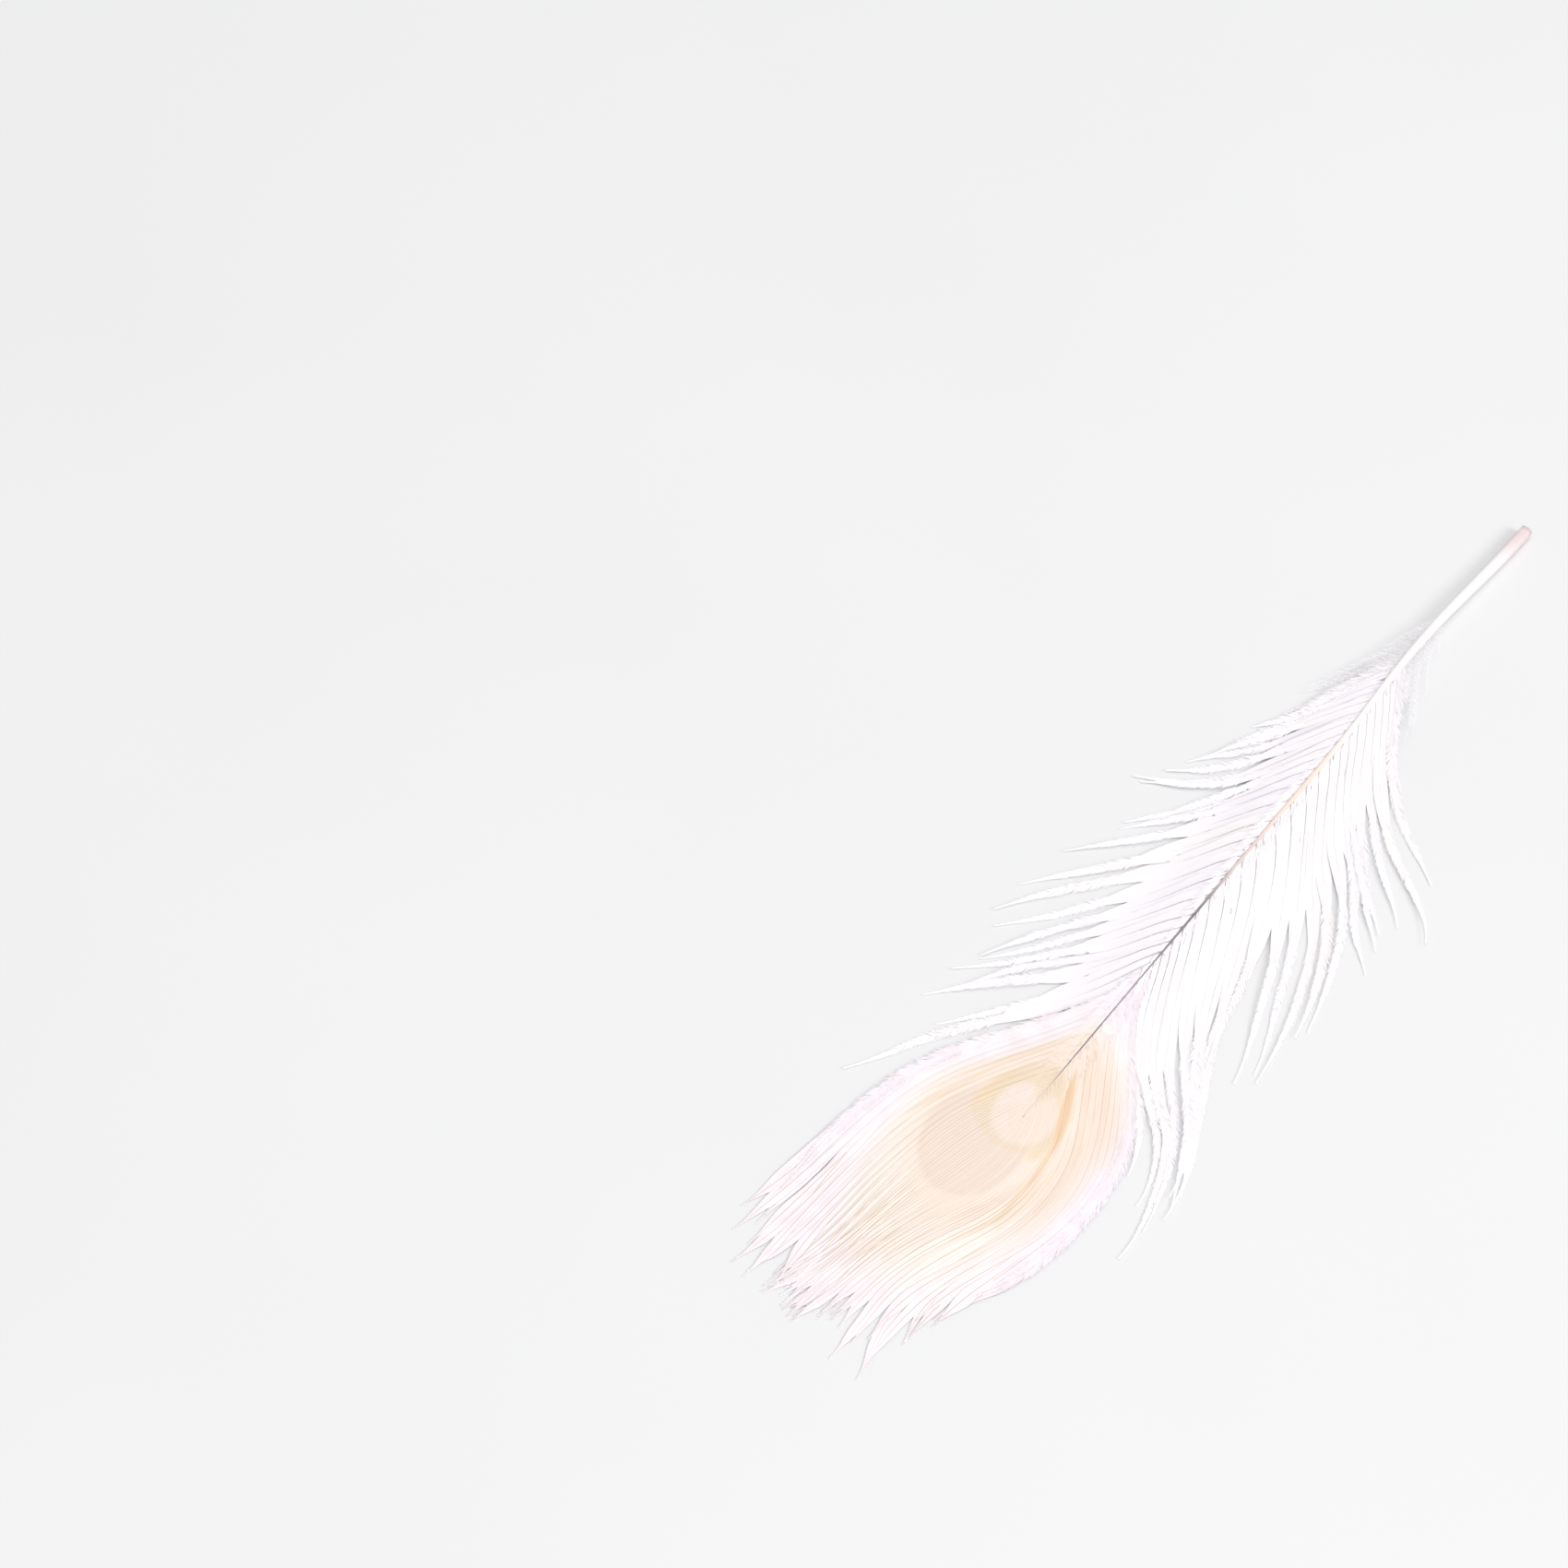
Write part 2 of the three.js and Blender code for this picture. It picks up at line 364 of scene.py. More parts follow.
def web_height(flat):
    """The eye's face: crowned along the shaft, and flat on the surface in its edges and fringe."""
    along, beside = flat[..., 0], np.abs(flat[..., 1])
    crown = shaft_height(np.minimum(along, SHAFT_LENGTH)) * (1 - ramp(along, 200, 45))
    lying = WEB_REST - FRINGE_DROP * ramp(along, 232, 25)
    return lying + np.maximum(crown - lying, 0) * (1 - ramp(beside, 0, CROWN_REACH))


# Meshes

# Outlines of a strand's section, from its ridge round to it again, within -1 and 1
ROUND_SECTION = [(math.sin(turn), math.cos(turn)) for turn in np.radians(range(0, 360, 60))]
RIDGED_SECTION = [(0, 1), (0.2, 0.3), (1, 0), (0, -0.4), (-1, 0), (-0.2, 0.3)]


def read_template(bm):
    """A small bmesh's vertices, and each face's corners, for repeating."""
    bmesh.ops.recalc_face_normals(bm, faces=bm.faces[:])
    bm.verts.index_update()
    vertices = np.array([vertex.co[:] for vertex in bm.verts])
    faces = [[corner.index for corner in face.verts] for face in bm.faces]
    bm.free()
    return vertices, faces


def closed_tube(sides, length, cuts):
    """A closed tube of radius 1 that stands on z = 0, cut across `cuts` times."""
    bm = bmesh.new()
    bmesh.ops.create_cone(bm, cap_ends=True, segments=sides, radius1=1, radius2=1, depth=length)
    bmesh.ops.translate(bm, verts=bm.verts[:], vec=(0, 0, length / 2))
    rising = [
        edge for edge in bm.edges
        if abs(edge.verts[0].co.z - edge.verts[1].co.z) > length / 2
    ]
    bmesh.ops.subdivide_edges(bm, edges=rising, cuts=cuts)
    return bm


def strand_template(section):
    """A closed tube with this section, cut across at each station."""
    bm = closed_tube(len(section), 1, STRAND_STEPS - 1)
    for vertex in bm.verts:
        turn = math.atan2(vertex.co.x, vertex.co.y) / (2 * math.pi)
        vertex.co.xy = section[round(turn * len(section)) % len(section)]
    return read_template(bm)


def blade_template():
    """A closed blade along z, flat above with a keel below, widest past its middle."""
    bm = bmesh.new()
    bmesh.ops.create_cone(bm, cap_ends=True, segments=5, radius1=1, radius2=0, depth=1)
    root = min(vertex.co.y for vertex in bm.verts)
    for vertex in bm.verts:
        across, along, below = vertex.co
        vertex.co = (across, -0.5 - below, (along - root) / (1 - root))
    return read_template(bm)


def repeat_template(name, faces, placed, attributes):
    """One mesh of many placed copies of a template. `placed` is (copies, vertices, 3) in metres."""
    copies, size = placed.shape[:2]
    corners = np.array([corner for face in faces for corner in face])
    sizes = np.array([len(face) for face in faces])
    starts = np.concatenate([[0], np.cumsum(sizes)[:-1]])
    copy = np.arange(copies)[:, None]
    mesh = bpy.data.meshes.new(name)
    mesh.vertices.add(copies * size)
    mesh.vertices.foreach_set("co", placed.reshape(-1))
    mesh.loops.add(copies * len(corners))
    mesh.loops.foreach_set("vertex_index", (corners + copy * size).reshape(-1))
    mesh.polygons.add(copies * len(faces))
    mesh.polygons.foreach_set("loop_start", (starts + copy * len(corners)).reshape(-1))
    for attribute, values in attributes.items():
        layer = mesh.attributes.new(attribute, "FLOAT", "POINT")
        layer.data.foreach_set("value", np.broadcast_to(values, (copies, size)).reshape(-1))
    mesh.update(calc_edges=True)
    mesh.validate()
    return mesh


def add_piece(mesh, material, node):
    """A finished piece that rides on the feather's body and stands for a node of the frame."""
    piece = bpy.data.objects.new(mesh.name, mesh)
    bpy.context.scene.collection.objects.link(piece)
    mesh.materials.append(material)
    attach(piece, "root")
    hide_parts(node)


def strand_mesh(name, section, paths, widths, heights, tilts, strands):
    """Strands along paths in space.

    Widths and heights are half sizes, and tilts are the turns about the path, at each station.
    """
    template, faces = strand_template(section)
    station = np.rint(template[:, 2] * STRAND_STEPS).astype(int)
    _, side, up = frames_along(paths)
    level, leaned = np.cos(tilts)[..., None], np.sin(tilts)[..., None]
    leaned_side = side * level + up * leaned
    leaned_up = up * level - side * leaned
    sideways = leaned_side[:, station] * (widths[:, station] * template[:, 0])[..., None]
    upwards = leaned_up[:, station] * (heights[:, station] * template[:, 1])[..., None]
    placed = to_frame(paths[:, station] + sideways + upwards)
    attributes = {
        "strand": strands[:, None],
        "reach": path_lengths(paths)[:, station],
        "share": template[:, 2],
        "across": template[:, 0],
        "beside": widths[:, station] * template[:, 0],
    }
    mesh = repeat_template(name, faces, placed, attributes)
    mesh.shade_smooth()

    # A flat strand's two borders stay sharp, so that its top is shaded apart from its underside.
    ends = np.zeros(2 * len(mesh.edges), int)
    mesh.edges.foreach_get("vertices", ends)
    across = np.zeros(len(mesh.vertices))
    mesh.attributes["across"].data.foreach_get("value", across)
    border = np.all(np.abs(across[ends.reshape(-1, 2)]) > 0.99, axis=1)
    mesh.attributes.new("sharp_edge", "BOOLEAN", "EDGE").data.foreach_set("value", border)
    return mesh


def worn(paths, random):
    """How much of the barbules' length is left at each station: less where some are broken."""
    each = (len(paths), 1)
    reached = path_lengths(paths)
    kept = np.ones_like(reached)
    for _ in range(3):
        middle = random.uniform(0.1, 1.2, each) * reached[:, -1:]
        reach = random.uniform(0.8, 2.2, each)
        lost = random.uniform(0, 0.5, each)
        kept = kept * (1 - lost * np.exp(-(((reached - middle) / reach) ** 2)))
    return kept


def barbule_mesh(
    name, paths, strands, spacings, lengths, widths, angles, ragged, bare, beside, random
):
    """Blades along both sides of each path, which lean and bend towards its tip.

    Lengths and angles in degrees are for each station. Spacings, half widths, raggedness and the
    bare side, -1 or 1 if there is one, are for each path. `beside` is the side of the shaft that
    they grow on and keep to.
    """
    template, faces = blade_template()
    reached = path_lengths(paths)
    tangent, side, up = frames_along(paths)
    parts = []
    for index, path in enumerate(paths):
        count = int(reached[index, -1] / spacings[index])
        for hand in (1, -1):
            if hand == bare[index]:
                continue
            distance = (np.arange(count) + random.uniform(0.1, 0.9, count)) * spacings[index]
            length = np.interp(distance, reached[index], lengths[index])
            grown = length > SHORTEST_BARBULE
            distance, length = distance[grown], length[grown]

            def at(values):
                return sample(reached[index], values, distance)

            rough = ragged[index]
            lean = np.radians(np.interp(distance, reached[index], angles[index]))
            lean = (lean + random.normal(0, 0.06 + 0.3 * rough, len(distance)))[:, None]
            rise = random.normal(0.03, 0.02 + 0.25 * rough, (len(distance), 1))
            ahead, above = at(tangent[index]), at(up[index])
            direction = ahead * np.cos(lean) + at(side[index]) * hand * np.sin(lean) + above * rise
            length = length * random.uniform(0.74 - 0.3 * rough, 1.1, len(distance))

            # A barbule that leans towards the shaft ends there.
            nearing = -beside * (direction + BARBULE_BEND * ahead)[:, 1]
            away = beside * (at(path)[:, 1] - shaft_bow(at(path)[:, 0]))
            farthest = np.where(nearing > 0, away / np.maximum(nearing, 0.01), length)
            length = np.maximum(np.minimum(length, farthest), SHORTEST_BARBULE / 2)
            share = distance / reached[index, -1]
            owner = np.full(len(distance), strands[index])
            wide = np.full(len(distance), widths[index])
            parts.append((at(path), direction, ahead, above, length, wide, owner, share))
    places, direction, ahead, above, length, wide, owner, share = map(np.concatenate, zip(*parts))
    direction = unit(direction)
    across = unit(np.cross(above, direction))
    upward = np.cross(direction, across)
    x, y, z = template.T
    sideways = x[None, :, None] * across[:, None] + 0.4 * y[None, :, None] * upward[:, None]
    spread = wide[:, None, None] * sideways
    bend = BARBULE_BEND * ahead[:, None] * (z**2)[None, :, None]
    drawn = direction[:, None] * z[None, :, None] + bend
    placed = to_frame(places[:, None] + spread + length[:, None, None] * drawn)
    placed[..., 2] = np.maximum(placed[..., 2], LOWEST * MM)
    attributes = {"strand": owner[:, None], "share": share[:, None], "out": z}
    mesh = repeat_template(name, faces, placed, attributes)
    mesh.shade_flat()
    return mesh


# Materials

# Ovals in the eye, in the order in which they are laid over each other: the centre, half sizes
# and softness of the edge in the feather's own measure, and a turn in degrees. A marking also has
# the name of the setting with its colour, and its strength.
CREAM_AREA = ((215, -2.5), (40, 20.8), 4.5, -3)
BROAD_MARKINGS = (
    ("warm", 0.9, (210, -1.5), (27, 18), 4.0, -7),
    ("tan", 0.9, (191, 10.0), (13.0, 4.2), 3.2, 42),
    ("tan", 0.75, (212, 15.6), (17.0, 4.0), 3.0, 2),
    ("disc", 1.0, (217.2, -5.0), (14.3, 11.3), 0.8, -3),
)
COOL_SIDE = ((191, -13.2), (24, 3.4), 1.8, -33)
# Thin lines in the ring's colour, where the web parts along a barb: painted shade of these creases,
# in the ring's warm tint.
CREASE_SHADE_LINES = (
    ("ring", 0.95, (221.5, 10.4), (8.0, 0.8), 0.4, 0),
    ("ring", 0.7, (233, 8.2), (8.0, 0.5), 0.4, -24),
    ("ring", 0.6, (222.5, 12.1), (8.0, 0.5), 0.4, -3),
    ("ring", 0.6, (193, -9.2), (11.5, 0.5), 0.4, -33),
    ("ring", 0.7, (212, -17.2), (9.0, 0.5), 0.4, -22),
    ("ring", 0.4, (231, -20.8), (10.0, 0.4), 0.4, -5),
)
RING_SIDES = ((209.5, -0.8), (18.5, 10.5), 0.5, -3)
RING_END = ((200, -1.5), (14.8, 13.5), 0.5)
FINE_MARKINGS = (
    ("golden", 0.6, (205.5, -10.2), (5.5, 1.4), 0.9, -8),
    ("spot", 1.0, (205.2, -0.1), (8.0, 7.1), 0.9, -21),
    ("core", 0.6, (203, -4.5), (4.0, 2.2), 1.4, -15),
    ("ring", 0.65, (196, 0), (4.5, 2.8), 0.7),
    ("golden", 0.7, (211.6, 7.6), (2.4, 1.0), 0.7, -30),
    ("crescent", 1.0, (199.4, 6.5), (9.0, 1.1), 0.4, 22.5),
    ("crescent", 0.8, (211, 9.9), (6.5, 0.6), 0.4, 5),
)
CALM_AREA = ((214, -3), (20, 13), 4.0, -3)  # where the barbs' own streaks are fainter
THREADED_AREA = ((232, 8), (15, 5), 3.0, -28)  # where the barbs' own threads show in the eye


class Nodes:
    """A material's node tree, with short calls for the nodes that this feather needs."""

    def __init__(self, name, roughness):
        self.material = bpy.data.materials.new(name)
        self.material.use_nodes = True
        self.tree = self.material.node_tree
        self.shader = self.tree.nodes["Principled BSDF"]
        self.finish({"Roughness": roughness, "IOR": KERATIN_IOR})

    def put(self, socket, value):
        if isinstance(value, bpy.types.NodeSocket):
            self.tree.links.new(value, socket)
        else:
            socket.default_value = value

    def finish(self, inputs):
        """Sets or links sockets of the shader."""
        for socket, value in inputs.items():
            self.put(self.shader.inputs[socket], value)

    def add(self, kind, inputs=(), **settings):
        node = self.tree.nodes.new(kind)
        for setting, value in settings.items():
            setattr(node, setting, value)
        for socket, value in dict(inputs).items():
            self.put(node.inputs[socket], value)
        return node

    def place(self):
        return self.add("ShaderNodeTexCoord").outputs["Object"]

    def attribute(self, name):
        node = self.add("ShaderNodeAttribute", attribute_type="GEOMETRY", attribute_name=name)
        return node.outputs["Fac"]

    def math(self, operation, *inputs, clamp=False):
        settings = {"operation": operation, "use_clamp": clamp}
        return self.add("ShaderNodeMath", enumerate(inputs), **settings).outputs[0]

    def times(self, first, second):
        return self.math("MULTIPLY", first, second)

    def vector(self, operation, *inputs):
        node = self.add("ShaderNodeVectorMath", enumerate(inputs), operation=operation)
        return node.outputs["Value" if operation == "LENGTH" else "Vector"]

    def between(self, value, low, high, to_low=0.0, to_high=1.0):
        """A smooth change from one value to another while the input goes from low to high."""
        limits = {"From Min": low, "From Max": high, "To Min": to_low, "To Max": to_high}
        inputs = {"Value": value, **limits}
        return self.add("ShaderNodeMapRange", inputs, interpolation_type="SMOOTHSTEP").outputs[0]

    def along(self, place, low, high, to_low=0.0, to_high=1.0):
        """The same change between two places along the shaft, in millimetres."""
        distance = self.add("ShaderNodeSeparateXYZ", {0: place}).outputs["X"]
        start = float(CUT_END[0])
        return self.between(distance, start + low * MM, start + high * MM, to_low, to_high)

    def mix(self, share, first, second, blend_type="MIX"):
        """One colour laid over another. Colours are red, green and blue, or come from a node."""
        node = self.add("ShaderNodeMix", data_type="RGBA", blend_type=blend_type)
        self.put(node.inputs["Factor"], share)
        for socket, value in ((6, first), (7, second)):
            linked = isinstance(value, bpy.types.NodeSocket)
            self.put(node.inputs[socket], value if linked else (*value, 1))
        return node.outputs[2]

    def multiply(self, colour, tint):
        return self.mix(1.0, colour, tint, "MULTIPLY")

    def noise(self, place, scale, detail=2.0, stretch=(1, 1, 1)):
        mapped = self.add("ShaderNodeMapping", {"Vector": place, "Scale": stretch}).outputs[0]
        inputs = {"Vector": mapped, "Scale": scale, "Detail": detail}
        return self.add("ShaderNodeTexNoise", inputs).outputs["Fac"]

    def oval(self, place, centre, radii, softness, turn=0.0):
        """1 inside an oval in the feather's own measure, fading to 0 at its edge."""
        moved = self.vector("SUBTRACT", place, tuple(to_frame([(*centre, 0)])[0]))
        if turn:
            turned = {"Vector": moved, "Rotation": (0, 0, -math.radians(turn))}
            moved = self.add("ShaderNodeMapping", turned).outputs[0]
        scaled = self.vector("MULTIPLY", moved, (1 / (radii[0] * MM), 1 / (radii[1] * MM), 0))
        soft = softness / min(radii)
        return self.between(self.vector("LENGTH", scaled), 1 - soft, 1 + soft, 1.0, 0.0)

    def bump(self, height, strength, distance):
        inputs = {"Height": height, "Strength": strength, "Distance": distance}
        self.finish({"Normal": self.add("ShaderNodeBump", inputs).outputs[0]})


def strand_tints(nodes, settings):
    """The barbs' white, tinted a little more lilac or cream from strand to strand."""
    strand = nodes.attribute("strand")
    lilac_share = nodes.between(strand, 0.45, 1.0, 0.0, 0.6)
    cream_share = nodes.between(strand, 0.0, 0.35, 0.3, 0.0)
    tinted = nodes.mix(lilac_share, settings.white, settings.lilac)
    return nodes.mix(cream_share, tinted, settings.cream)


def ramus_material(settings):
    nodes = Nodes("barb_ramus", 0.4)
    # Next to the shaft each barb's line is painted darker: painted shade, the shadow beside the
    # barb's ridge. It fades out along the barb and is lighter near the quill.
    near_root = nodes.between(nodes.attribute("reach"), 4.0, 26.0, 1.0, 0.0)
    near_tip = nodes.between(nodes.attribute("share"), 0.25, 0.8)
    root_shade = nodes.math("SUBTRACT", near_root, near_tip, clamp=True)
    root_shade = nodes.times(root_shade, nodes.along(nodes.place(), 70, 120, 0.45, 1.0))
    line = nodes.mix(root_shade, settings.ramus_colour, settings.root_shade_colour)
    fibres = nodes.noise(nodes.place(), 900)
    paler = nodes.between(fibres, 0.5, 0.8, 0.0, 0.5)
    nodes.finish({
        "Base Color": nodes.mix(paler, line, strand_tints(nodes, settings)),
        "Roughness": nodes.between(fibres, 0.3, 0.7, 0.32, 0.52),
    })
    nodes.bump(fibres, 0.25, 0.00004)
    return nodes.material


def barbule_material(settings):
    nodes = Nodes("barb_barbules", 0.7)
    patch = nodes.noise(nodes.place(), 110, 3.0)
    patchy = nodes.between(patch, 0.4, 0.75, 0.0, 0.4)
    shaded = nodes.mix(patchy, strand_tints(nodes, settings), settings.shade)
    near_barb = nodes.between(nodes.attribute("out"), 0.0, 0.5, 0.5, 0.0)
    nodes.finish({
        "Base Color": nodes.mix(near_barb, shaded, settings.shade),
        "Roughness": nodes.between(patch, 0.3, 0.7, 0.6, 0.8),
        "Sheen Weight": 0.2,
        "Sheen Roughness": 0.5,
    })
    return nodes.material


def held_barbules(nodes):
    """Fine waves that slant across each barb, as barbules that hold together do."""
    beside = nodes.math("ABSOLUTE", nodes.attribute("beside"))
    slant = nodes.math("SUBTRACT", nodes.attribute("reach"), nodes.times(beside, HELD_SLANT))
    return nodes.math("SINE", nodes.times(slant, HELD_WAVES))


def barb_streaks(nodes, fineness):
    """Noise that is drawn out along each barb."""
    scales = {"beside": fineness, "reach": 0.15, "strand": 50.0}
    scaled = [nodes.times(nodes.attribute(name), scale) for name, scale in scales.items()]
    return nodes.noise(nodes.add("ShaderNodeCombineXYZ", enumerate(scaled)).outputs[0], 1.0)


def blade_material(settings):
    nodes = Nodes("barb_blades", 0.6)
    tints = strand_tints(nodes, settings)
    shade = nodes.multiply(tints, settings.blade_shade)
    streaks = barb_streaks(nodes, 1.6)
    waves = held_barbules(nodes)
    # One side of each blade is painted darker: painted shade, as if the light fell across the barb
    # from its other side.
    shaded_side_paint = nodes.between(nodes.attribute("across"), -0.3, 0.3, 0.0, 0.5)
    colour = nodes.mix(shaded_side_paint, nodes.multiply(tints, settings.blade_tint), shade)
    colour = nodes.mix(nodes.between(streaks, 0.4, 0.7, 0.0, 0.9), colour, shade)
    near_root = nodes.between(nodes.attribute("reach"), 10.0, 45.0, 0.7, 0.0)
    beside_eye = nodes.times(nodes.along(nodes.place(), 125, 155), near_root)
    colour = nodes.mix(beside_eye, colour, settings.near_eye)
    nodes.finish({
        "Base Color": nodes.mix(nodes.between(waves, -1.0, 1.0, 0.4, 0.0), colour, shade),
        "Roughness": nodes.between(streaks, 0.3, 0.7, 0.55, 0.7),
        "Sheen Weight": 0.1,
        "Sheen Roughness": 0.5,
    })
    nodes.bump(waves, 0.25, 0.00005)
    return nodes.material


def lay_on(nodes, settings, place, colour, markings):
    """The colour with each of these markings laid over it in turn."""
    for setting, strength, *oval in markings:
        mask = nodes.times(nodes.oval(place, *oval), strength)
        colour = nodes.mix(mask, colour, getattr(settings, setting))
    return colour


def eye_colours(nodes, settings):
    """The eye's colour, its mottling, and where its streaks are warm.

    Each barb's pattern is shifted a little, as barbs don't grow in step.
    """
    shift = nodes.math("SUBTRACT", nodes.attribute("strand"), 0.5)
    shift = nodes.times(shift, settings.stagger)
    offset = nodes.add("ShaderNodeCombineXYZ", {"X": shift, "Y": shift}).outputs[0]
    place = nodes.vector("ADD", nodes.place(), offset)
    mottle = nodes.noise(place, 160, 3.0)
    outer = nodes.mix(nodes.between(mottle, 0.35, 0.7), settings.outer, settings.fringe)
    cream_area = nodes.oval(place, *CREAM_AREA)
    colour = nodes.mix(cream_area, outer, settings.cream)
    colour = lay_on(nodes, settings, place, colour, BROAD_MARKINGS)

    # The base of the eye, and its right side, are as pale and cool as its outer edge.
    cool_side = nodes.times(nodes.oval(place, *COOL_SIDE), 0.85)
    cool = nodes.math("MAXIMUM", cool_side, nodes.along(place, 168, 182, 1.0, 0.0))
    colour = nodes.mix(cool, colour, outer)
    colour = lay_on(nodes, settings, place, colour, CREASE_SHADE_LINES)

    # The ring is where two ovals meet. It is faint at its base, and fainter again past the spot.
    ring = nodes.times(nodes.oval(place, *RING_SIDES), nodes.oval(place, *RING_END))
    ring = nodes.times(ring, nodes.along(place, 190, 200, 0.35, 1.0))
    ring = nodes.times(ring, nodes.along(place, 205, 213, 1.0, 0.65))
    colour = nodes.mix(ring, colour, settings.ring)
    colour = lay_on(nodes, settings, place, colour, FINE_MARKINGS)
    return colour, mottle, nodes.times(cream_area, nodes.math("SUBTRACT", 1.0, cool))


def eye_material(name, settings, closed):
    """The eye's finish, for its closed barbs or for the barbules that stand free of them."""
    nodes = Nodes(name, 0.6)
    colour, mottle, warm = eye_colours(nodes, settings)
    strand = nodes.attribute("strand")
    place = nodes.place()
    lively = nodes.between(nodes.oval(place, *CALM_AREA), 0.0, 1.0, 1.0, 0.4)
    deeper = nodes.multiply(colour, nodes.mix(warm, settings.cool_groove, settings.groove))
    streaked = nodes.times(nodes.between(strand, 0.0, 1.0, 0.0, 0.22), lively)
    colour = nodes.mix(streaked, colour, deeper)
    if closed:
        # The grooves between the barbs are painted darker in a warm tint: painted shade. Fine
        # barbules slant across each barb.
        side = nodes.math("ABSOLUTE", nodes.attribute("across"))
        groove_shade_mask = nodes.between(strand, 0.0, 1.0, 0.25, 1.0)
        groove_shade_mask = nodes.times(nodes.between(side, 0.88, 0.98), groove_shade_mask)
        line = nodes.multiply(colour, settings.line)
        colour = nodes.mix(nodes.times(groove_shade_mask, lively), colour, line)
        waves = held_barbules(nodes)
        colour = nodes.mix(nodes.between(waves, -1.0, 1.0, 0.12, 0.0), colour, deeper)
        streaks = nodes.between(barb_streaks(nodes, 5.0), 0.45, 0.75, 0.0, 0.5)
        colour = nodes.mix(nodes.times(streaks, lively), colour, deeper)

        # In the fringe each barb's own thread shows.
        fading = nodes.along(place, 254, 272, 1.0, 0.3)
        in_fringe = nodes.times(nodes.along(place, 224, 246), fading)
        threaded = nodes.math("MAXIMUM", in_fringe, nodes.oval(place, *THREADED_AREA))
        beside = nodes.math("ABSOLUTE", nodes.attribute("beside"))
        thread = nodes.times(threaded, nodes.between(beside, 0.03, 0.13, 1.0, 0.0))
        colour = nodes.mix(thread, colour, settings.thread)
        nodes.bump(waves, 0.25, 0.00005)
    nodes.finish({
        "Base Color": colour,
        "Roughness": nodes.between(mottle, 0.3, 0.7, 0.5, 0.66),
        "Sheen Weight": 0.2,
        "Sheen Roughness": 0.4,
    })
    return nodes.material


def shaft_material(settings):
    nodes = Nodes("shaft_keratin", 0.35)
    place = nodes.place()
    colour = settings.cut_colour
    # The peach, mauve and dark bands along the shaft are painted shade: the shaded side and groove of
    # the thin shaft, darkest as the thin line below the eye, over its pale keratin. The cut end's
    # pink is its own stain.
    for start, end, tint in (
        (2, 16, settings.quill_colour),
        (70, 98, settings.peach_shade),
        (102, 122, settings.mauve_shade),
        (122, 142, settings.dark_shade_and_fibres),
        (186, 205, settings.tip_colour),
    ):
        colour = nodes.mix(nodes.along(place, start, end), colour, tint)
    fibres = nodes.noise(place, 1400, 3.0, (0.03, 1, 1))
    blotches = nodes.noise(place, 120, 2.0, (0.4, 1, 1))
    # Fine fibre streaks take a little of the same dark colour.
    colour = nodes.mix(nodes.between(fibres, 0.5, 0.8, 0.0, 0.12), colour, settings.dark_shade_and_fibres)
    colour = nodes.mix(nodes.between(blotches, 0.5, 0.8, 0.0, 0.25), colour, settings.quill_colour)
    nodes.finish({
        "Base Color": colour,
        "Roughness": nodes.between(fibres, 0.3, 0.7, 0.28, 0.48),
        "Coat Weight": 0.15,
        "Coat Roughness": 0.25,
    })
    nodes.bump(fibres, 0.3, 0.00008)
    return nodes.material


def pith_material(settings):
    nodes = Nodes("shaft_pith", 0.9)
    foam = nodes.noise(nodes.place(), 2600, 3.0)
    paler = nodes.between(foam, 0.35, 0.7)
    nodes.finish({"Base Color": nodes.mix(paler, settings.cut_colour, settings.pith_colour)})
    nodes.bump(foam, 0.8, 0.0002)
    return nodes.material


def floor_material(settings):
    nodes = Nodes("pale_floor", 0.6)
    grain = nodes.between(nodes.noise(nodes.place(), 6, 3.0), 0.3, 0.7)
    shaded = tuple(0.985 * value for value in settings.floor_colour)
    nodes.finish({"Base Color": nodes.mix(grain, settings.floor_colour, shaded)})
    return nodes.material


# Settings


def number_setting(name, description, default, **kind):
    return bpy.props.FloatProperty(name=name, description=description, default=default, **kind)


def length_setting(name, description, millimetres):
    kind = {"min": 0.0, "precision": 5, "subtype": "DISTANCE", "unit": "LENGTH"}
    return number_setting(name, description, millimetres * MM, **kind)


def share_setting(name, description, value):
    return number_setting(name, description, value, min=0.0, max=1.0, subtype="FACTOR")


def angle_setting(name, description, degrees):
    return number_setting(name, description, math.radians(degrees), subtype="ANGLE")


def power_setting(name, description, watts):
    return number_setting(name, description, watts, min=0.0, unit="POWER")


def colour_setting(name, description, red, green, blue):
    return bpy.props.FloatVectorProperty(
        name=name,
        description=description,
        default=linear(red, green, blue),
        min=0.0,
        max=1.0,
        size=3,
        subtype="COLOR",
    )


class ShaftSettings(bpy.types.PropertyGroup):
    """The quill and rachis."""

    rim_width: length_setting("Rim width", "Thickness of the hard wall at the cut end", 0.2)
    pith_depth: length_setting("Pith depth", "How far the pith lies inside the cut end", 0.25)
    groove_share: share_setting("Groove", "Depth of the groove along the underside", 0.26)
    cut_colour: colour_setting("Cut end", "Colour at the cut end", 232, 212, 214)
    pith_colour: colour_setting("Pith", "Colour of the pith in the cut end", 244, 236, 228)
    quill_colour: colour_setting("Quill", "Colour of the bare quill", 247, 243, 243)
    # The middle, upper and thin-part colours are painted shade of the thin shaft's shaded side and
    # groove.
    peach_shade: colour_setting("Middle", "Colour of the shaft's middle", 247, 224, 210)
    mauve_shade: colour_setting("Upper", "Colour of the shaft above its middle", 224, 206, 202)
    dark_shade_and_fibres: colour_setting("Thin part", "Colour of the thin part below the eye", 130, 121, 126)
    tip_colour: colour_setting("Thin end", "Colour of the thin end in the eye", 232, 214, 202)


